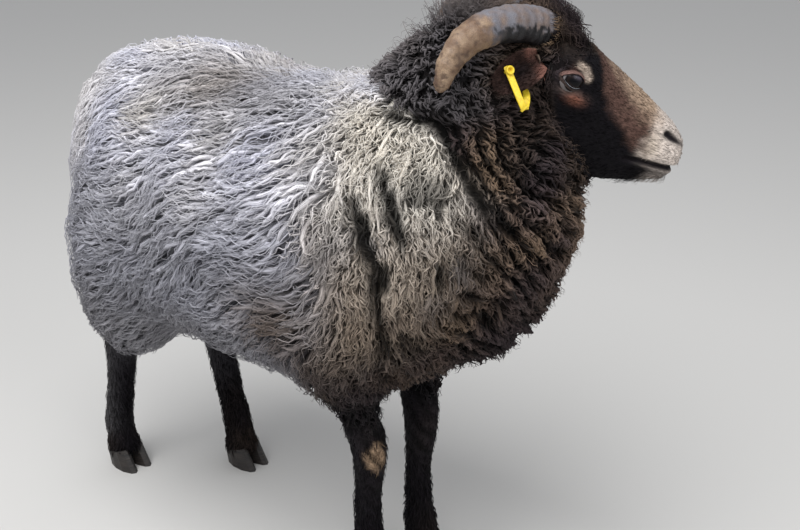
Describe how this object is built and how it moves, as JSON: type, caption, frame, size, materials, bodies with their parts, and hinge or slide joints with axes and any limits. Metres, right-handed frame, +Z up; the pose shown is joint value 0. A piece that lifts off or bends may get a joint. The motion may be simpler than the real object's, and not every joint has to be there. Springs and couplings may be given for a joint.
{
  "type": "sheep",
  "caption": "Young horned ram of a dwarf heath breed, standing with its head turned to its left: grey crimped fleece, dark woolly neck, black legs, tagged right ear.",
  "frame": {"origin": "on the floor, under the middle of the animal's box", "axes": "+X the way the trunk faces, +Y the animal's left, +Z up; the head is turned 40 degrees to its left"},
  "size_m": [0.6416, 0.3154, 0.6065],
  "materials": {
    "fleece_grey": "long crimped wool, pale silver grey over a darker ground, beige at the shoulder",
    "fleece_dark": "dense frizzy wool, dark brown to black, in clumps with deep creases",
    "face_hair": "short flat hair, brown-black, tan on the bridge of the nose, pale on the muzzle",
    "leg_hair": "short black hair",
    "horn": "ridged horn, grey at the base, tan towards the tip",
    "eye": "wet and dark",
    "hoof": "dark worn horn",
    "tag_plastic": "yellow moulded plastic, bare"
  },
  "bodies": {
    "root": {"ear_left": "face_hair", "ear_right": "face_hair", "ear_tag": "tag_plastic", "ear_tag_pin": "tag_plastic", "eye_left": "eye", "eye_right": "eye", "head": "face_hair", "hoof_left_front_inner": "hoof", "hoof_left_front_outer": "hoof", "hoof_left_hind_inner": "hoof", "hoof_left_hind_outer": "hoof", "hoof_right_front_inner": "hoof", "hoof_right_front_outer": "hoof", "hoof_right_hind_inner": "hoof", "hoof_right_hind_outer": "hoof", "horn_left": "horn", "horn_right": "horn", "leg_left_front": "leg_hair", "leg_left_hind": "leg_hair", "leg_right_front": "leg_hair", "leg_right_hind": "leg_hair", "neck": "fleece_dark", "tail": "fleece_grey", "trunk": "fleece_grey"}
  },
  "joints": []
}
